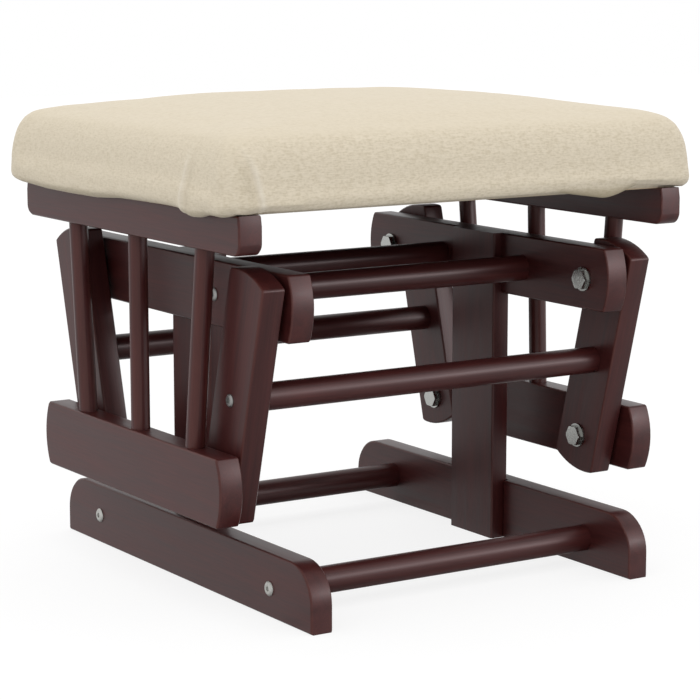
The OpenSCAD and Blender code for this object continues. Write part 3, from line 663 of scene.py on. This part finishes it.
places = points_of(cushion)
crest_highlight = np.zeros(len(places))
hollow_shade = np.zeros(len(places))
for side, stand, line in TUCKS:
    across, sign, along, reach = side_frame(side)
    past = past_line(places, side, line)
    slow = np.exp(-(past / TUCK_RISE) ** 2)
    crisp = np.exp(-(past / TUCK_EDGE) ** 2)
    ridge = np.where(past < 0, slow, (1 + TUCK_HOLLOW) * crisp - TUCK_HOLLOW * slow)
    top = line[0][1] * MM
    fade = 1 - smooth_step(top * TUCK_FADE, top + FADE_PAST_TOP, places[:, 2] - pad_low.z)
    on_tuck = fade * on_side(places, side)
    places[:, across] += sign * stand * MM * ridge * on_tuck
    # Masks for the cloth's colour: the crest gets a painted highlight, the hollow past it a
    # painted shade
    crest_highlight = np.maximum(crest_highlight, np.exp(-(past / CREST_HIGHLIGHT_WIDE) ** 2) * on_tuck)
    hollow_shade = np.maximum(hollow_shade, np.exp(-((past - HOLLOW_SHADE_AT) / HOLLOW_SHADE_WIDE) ** 2) * on_tuck)
cushion.data.vertices.foreach_set("co", places.ravel())
print("tucks:", len(TUCKS), "points on crests:", int((crest_highlight > 0.5).sum()))

# %% [markdown]
# The hem, where the cloth turns under, is not straight. It rides up a little along the
# front and sags over the seat rail on the left, most of all between the tucks and the
# corner. A fold of cloth also hangs below the front edge on the right, behind the hem. The
# hem could be drawn as a curve and the cloth pulled to it, but a table of heights along
# each side, which the points near the hem follow, is easier to read and to correct.

# %% Hem
HEM_BAND = 20 * MM
HEM_SOFT = 3 * MM
KINK_SHIFTS = (-4, -2, 0, 2, 4)
FOLD_START, FOLD_FULL = 1.6 * MM, 6.4 * MM
FOLD_EASES, FOLD_END = 8 * MM, 16 * MM
FOLD_BAND = 4 * MM
UNDER_BOARD, UNDER_BAND = 0.3 * MM, 2 * MM
RAIL_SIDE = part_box("upper_rail_right")[1].x
RAIL_END = -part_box("upper_rail_right")[0].y
CLEAR_OF_RAIL = 0.6 * MM

# Each side's hem as points of (place along the side, height above the rails' tops), in
# millimetres
HEM = {
    "left": [(-200, 2.8), (-184, 3.2), (-177, 2.0), (-172, 0.0), (-170, -1.0), (-163, -0.8),
             (-157, -0.5), (-145, -0.9), (-140, -2.4), (-136, -3.6), (-128, -4.0), (-121, -4.3),
             (-116, -3.0), (-111, -1.2), (-106, 0.2), (-100, 0.6), (-80, 0.7), (-40, 0.1),
             (-5, -0.5), (20, -2.4), (35, -3.3), (80, -3.6), (118, -3.1), (150, -1.4),
             (165, -0.6), (171, 0.4), (178, 0.6), (200, 1.2)],
    "front": [(-230, 2.6), (-208, 2.4), (-200, 1.4), (-193, 1.6), (-187, 2.8), (-170, 2.1),
              (-120, 1.8), (-40, 2.2), (40, 2.5), (72, 2.8), (84, 3.1), (100, 3.0), (118, 3.6),
              (126, 3.2), (134, 4.0), (146, 3.6), (154, 4.6), (166, 4.2), (178, 4.0),
              (188, 3.0), (200, 2.6), (230, 1.6)],
    "right": [(-200, 1.6), (-170, 0.6), (-158, -1.2), (-140, 0.4), (-80, -1.6), (-20, -0.4),
              (50, -2.2), (110, -1.4), (136, -1.8), (160, 0.2), (200, 1.2)],
    "rear": [(-230, 1.2), (-195, 0.4), (-184, -0.6), (-150, 0.8), (-40, 0.2), (60, -0.4),
             (150, 0.6), (182, -0.6), (196, 0.4), (230, 1.2)],
}
# The fold that hangs under the front edge, as points of (place, depth below the hem)
FOLD = [(75, 0), (83, 0.8), (94, 2.4), (104, 3.9), (115, 6.0), (126, 7.4), (135, 7.0),
        (141, 5.0), (146, 3.4), (152, 1.6), (158, 0)]


def soft_line(points, places):
    """Reads a line of (place, height) points in mm at given places, with its kinks rounded."""
    along, heights = zip(*points)
    steps = [np.interp(places / MM + shift, along, heights) for shift in KINK_SHIFTS]
    return np.mean(steps, axis=0) * MM


places = points_of(cushion)
height = places[:, 2] - pad_low.z
beyond_x = np.abs(places[:, 0]) - pad_high.x
beyond_y = np.abs(places[:, 1]) - pad_high.y
lift = np.zeros(len(places))
for side, points in HEM.items():
    across, sign, along, reach = side_frame(side)
    mine = (beyond_x > beyond_y) == (across == 0)
    mine &= places[:, across] * sign > 0
    lift[mine] = soft_line(points, places[mine, along])
clear_x = smooth_step(0, HEM_SOFT, np.abs(places[:, 0]) - RAIL_SIDE - CLEAR_OF_RAIL)
clear_y = smooth_step(0, HEM_SOFT, np.abs(places[:, 1]) - RAIL_END - CLEAR_OF_RAIL)
past_board_x = smooth_step(0, HEM_SOFT, np.abs(places[:, 0]) - board_high.x)
past_board_y = smooth_step(0, HEM_SOFT, np.abs(places[:, 1]) - board_high.y)
hanging = np.where(lift < 0, np.maximum(clear_x, clear_y),
                   np.maximum(past_board_x, past_board_y))
places[:, 2] += lift * hanging * (1 - smooth_step(0, HEM_BAND, height))

behind = places[:, 1] + pad_high.y
bulge = smooth_step(FOLD_START, FOLD_FULL, behind)
bulge *= 1 - smooth_step(FOLD_EASES, FOLD_END, behind)
fold = soft_line(FOLD, places[:, 0]) * bulge
places[:, 2] -= fold * (1 - smooth_step(0, FOLD_BAND, height))
places[:, 2] -= UNDER_BOARD * (1 - smooth_step(0, UNDER_BAND, height))
print("hem lifted and lowered by, mm:", (lift.max() / MM).round(1), (lift.min() / MM).round(1))

# %% [markdown]
# Foam and hands leave the faintest unevenness, so the pad sways by a smooth noise, not at
# all at the hem and fully from some way up. The folded cloth makes the corners fuller, the
# rear left one most of all, and the whole pad was stapled on a little to the left. A corner
# could be stuffed further in the simulation, but a push along the normals is exact.

# %% Sway and full corners
SWAY = 0.6 * MM
SWAY_LONG, SWAY_SHORT, SHORT_SHARE = 55 * MM, 21 * MM, 0.5
SWAY_BAND = 30 * MM
CORNER_BAND = 45 * MM
CORNER_FILL, REAR_LEFT_FILL = 1.4 * MM, 3.2 * MM
FILL_BY_HEM, FULL_FROM, FULL_AT = 0.45, 3 * MM, 22 * MM
FILL_ON_TOP, FADES_FROM, FADED_AT = 0.5, 50 * MM, 74 * MM
PAD_SHIFT = -1.3 * MM

for index, place in enumerate(places):
    sway = noise.noise(Vector(place) / SWAY_LONG)
    sway += SHORT_SHARE * noise.noise(Vector(place) / SWAY_SHORT)
    place[2] += SWAY * sway * min(1, max(0, height[index] / SWAY_BAND))

# How much of a corner's fill each point gets: by its place, and then by its height
corner = smooth_step(-CORNER_BAND, -CORNER_BAND / 4, beyond_x)
corner *= smooth_step(-CORNER_BAND, -CORNER_BAND / 4, beyond_y)
corner *= FILL_BY_HEM + (1 - FILL_BY_HEM) * smooth_step(FULL_FROM, FULL_AT, height)
corner *= 1 - (1 - FILL_ON_TOP) * smooth_step(FADES_FROM, FADED_AT, height)
corner *= smooth_step(0, FULL_FROM, height)
rear_left = (places[:, 0] < 0) & (places[:, 1] > 0)
fill = corner * np.where(rear_left, REAR_LEFT_FILL, CORNER_FILL)
places += points_of(cushion, "normal") * fill[:, None]
places[:, 0] += PAD_SHIFT
cushion.data.vertices.foreach_set("co", places.ravel())
cushion.data.update()
for polygon in cushion.data.polygons:
    polygon.use_smooth = True
print("cushion box, mm:", (places.min(0) / MM).round(1), (places.max(0) / MM).round(1))

# %% [markdown]
# A cover isn't equally fresh all over. Its yarn is painted with little contrast on top,
# where it lies flat, and the most on the front, where the light rakes it. The hem, the
# hanging fold and the tucks' hollows get a painted shade, and the tucks' crests a painted
# highlight. Such things could be painted by hand, but here they follow from the shape, so
# each point gets three numbers under names that the cloth's material can read.

# %% Yarn contrast, painted shade and painted highlight
YARN_ON_TOP, YARN_ON_SIDE, YARN_ON_FRONT = 0.5, 1.0, 1.45
TOP_FROM, TOP_FULL = 0.3, 0.95
FRONT_FROM, FRONT_FULL = 0.4, 0.9
HEM_SHADE, FOLD_SHADE, TUCK_SHADE = 0.32, 0.75, 0.16
SHADE_FADES, SHADE_HIGH = 0.5 * MM, 2.4 * MM

outward = points_of(cushion, "normal")
beside_top = 1 - smooth_step(TOP_FROM, TOP_FULL, outward[:, 2])
on_front = smooth_step(FRONT_FROM, FRONT_FULL, np.abs(outward[:, 1]))
contrast_by_facing = YARN_ON_TOP + (YARN_ON_SIDE - YARN_ON_TOP) * beside_top
contrast_by_facing += (YARN_ON_FRONT - YARN_ON_SIDE) * on_front
# Painted shade: darker at the hem's lowest millimetres, on the hanging fold and in the tucks'
# hollows
shade_amount = HEM_SHADE * (1 - smooth_step(SHADE_FADES, SHADE_HIGH, places[:, 2] - pad_low.z))
shade_amount = np.maximum(shade_amount, FOLD_SHADE * np.minimum(bulge, fold / MM) * (height < SHADE_HIGH))
shade_amount = np.maximum(shade_amount, TUCK_SHADE * hollow_shade)
for name, values in {"yarn_contrast": contrast_by_facing, "painted_shade": shade_amount, "painted_highlight": crest_highlight}.items():
    cushion.data.attributes.new(name, "FLOAT", "POINT").data.foreach_set("value", values)
    print(name, "from", round(float(values.min()), 2), "to", round(float(values.max()), 2))

# %% [markdown]
# The cover is a beige woven cloth of soft, uneven yarn, like a brushed twill. Thick places
# in the yarn, the slubs, show as short pale and dark dashes that all run one way, and the
# nap gives a soft sheen at grazing angles. The yarn is 0.4 mm thick, finer than the render
# shows, so its threads are drawn 1.2 mm apart. Everything is read from Object coordinates,
# because the remesh keeps no UV map, and the dashes lie level: they are long along X and Y
# and thin along Z.

# %% Woven cloth
CLOTH_LIGHT = "#ebdfc9"
CLOTH_MIDDLE = "#e4d8c1"
CLOTH_DARK = "#d9ccb3"
CLOTH_SHADE = "#97896a"
CLOTH_HIGHLIGHT = "#f7efe0"
SLUB_LONG, SLUB_THICK = 5.0 * MM, 1.0 * MM
SLUBS_ROUGH = 0.6
NAP_PATCH, NAP_SHARE = 2.4 * MM, 0.4
DYE_FROM, DYE_TO = 0.34, 0.66
HIGHLIGHT_SHOWN = 0.38
THREAD = 1.2 * MM
CROSSING_SHARE, THREAD_SHARE = 0.25, 0.06
CLOTH_RELIEF, CLOTH_STRENGTH = 0.22 * MM, 0.55
CLOTH_ROUGH, CLOTH_MIRROR = 0.92, 0.2
NAP_SHEEN, NAP_SHEEN_ROUGH = 0.12, 0.5

cloth, tree, out = new_material("woven_beige_cloth")
place = add_node(tree, "ShaderNodeTexCoord", {}, {}).outputs["Object"]
slub_place = add_node(tree, "ShaderNodeMapping", {"vector_type": "TEXTURE"},
                      {"Vector": place, "Scale": (SLUB_LONG, SLUB_LONG, SLUB_THICK)})
slubs = add_node(tree, "ShaderNodeTexNoise", {},
                 {"Vector": slub_place.outputs[0], "Scale": 1, "Detail": 2.5,
                  "Roughness": SLUBS_ROUGH}).outputs["Fac"]
nap = add_node(tree, "ShaderNodeTexNoise", {},
               {"Vector": place, "Scale": 1 / NAP_PATCH, "Detail": 3}).outputs["Fac"]
tone = add_node(tree, "ShaderNodeMix", {"data_type": "FLOAT"},
                {"Factor": NAP_SHARE, "A": slubs, "B": nap})
# The pattern's contrast is painted by facing: least on top, where the nap lies flat, and most
# on the front, where the light rakes it
yarn = add_node(tree, "ShaderNodeAttribute", {"attribute_name": "yarn_contrast"}, {})
centred = add_node(tree, "ShaderNodeMath", {"operation": "SUBTRACT"},
                   {0: tone.outputs[0], 1: NOISE_MIDDLE})
shown = add_node(tree, "ShaderNodeMath", {"operation": "MULTIPLY_ADD"},
                 {0: centred.outputs[0], 1: yarn.outputs["Fac"], 2: NOISE_MIDDLE})
dye = add_node(tree, "ShaderNodeValToRGB", {}, {"Fac": shown.outputs[0]})
ramp = dye.color_ramp.elements
ramp[0].position, ramp[0].color = DYE_FROM, paint(CLOTH_DARK)
ramp[1].position, ramp[1].color = DYE_TO, paint(CLOTH_LIGHT)
ramp.new(NOISE_MIDDLE).color = paint(CLOTH_MIDDLE)
# Painted shade: the colour is mixed towards a dark olive where the shade is painted
painted_shade = add_node(tree, "ShaderNodeAttribute", {"attribute_name": "painted_shade"}, {})
shaded_dye = add_node(tree, "ShaderNodeMix", {"data_type": "RGBA"},
                 {0: painted_shade.outputs["Fac"], 6: dye.outputs["Color"], 7: paint(CLOTH_SHADE)})
# Painted highlight: the tucks' crests are mixed towards a pale cream
painted_highlight = add_node(tree, "ShaderNodeAttribute", {"attribute_name": "painted_highlight"}, {})
crest_highlights = add_node(tree, "ShaderNodeMath", {"operation": "MULTIPLY"},
                  {0: painted_highlight.outputs["Fac"], 1: HIGHLIGHT_SHOWN})
highlighted = add_node(tree, "ShaderNodeMix", {"data_type": "RGBA"},
                 {0: crest_highlights.outputs[0], 6: shaded_dye.outputs[2], 7: paint(CLOTH_HIGHLIGHT)})
parts = add_node(tree, "ShaderNodeSeparateXYZ", {}, {"Vector": place})
waves = []
for axis in "XYZ":
    turns = add_node(tree, "ShaderNodeMath", {"operation": "MULTIPLY"},
                     {0: parts.outputs[axis], 1: 2 * pi / THREAD})
    waves.append(add_node(tree, "ShaderNodeMath", {"operation": "SINE"},
                          {0: turns.outputs[0]}).outputs[0])
warp = add_node(tree, "ShaderNodeMath", {"operation": "MULTIPLY"}, {0: waves[1], 1: waves[2]})
weave = add_node(tree, "ShaderNodeMath", {"operation": "MULTIPLY_ADD"},
                 {0: waves[0], 1: CROSSING_SHARE, 2: warp.outputs[0]})
relief = add_node(tree, "ShaderNodeMath", {"operation": "MULTIPLY_ADD"},
                  {0: weave.outputs[0], 1: THREAD_SHARE, 2: shown.outputs[0]})
bump = add_node(tree, "ShaderNodeBump", {},
                {"Height": relief.outputs[0], "Strength": CLOTH_STRENGTH,
                 "Distance": CLOTH_RELIEF})
cover = add_node(tree, "ShaderNodeBsdfPrincipled", {},
                 {"Base Color": highlighted.outputs[2], "Roughness": CLOTH_ROUGH,
                  "Specular IOR Level": CLOTH_MIRROR, "Sheen Weight": NAP_SHEEN,
                  "Sheen Roughness": NAP_SHEEN_ROUGH, "Normal": bump.outputs[0]})
tree.links.new(cover.outputs[0], out.inputs["Surface"])
cushion.data.materials.clear()
cushion.data.materials.append(cloth)
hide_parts("pad")
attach(cushion, "seat")
print("cover:", cloth.name, "with", len(tree.nodes), "shader nodes")
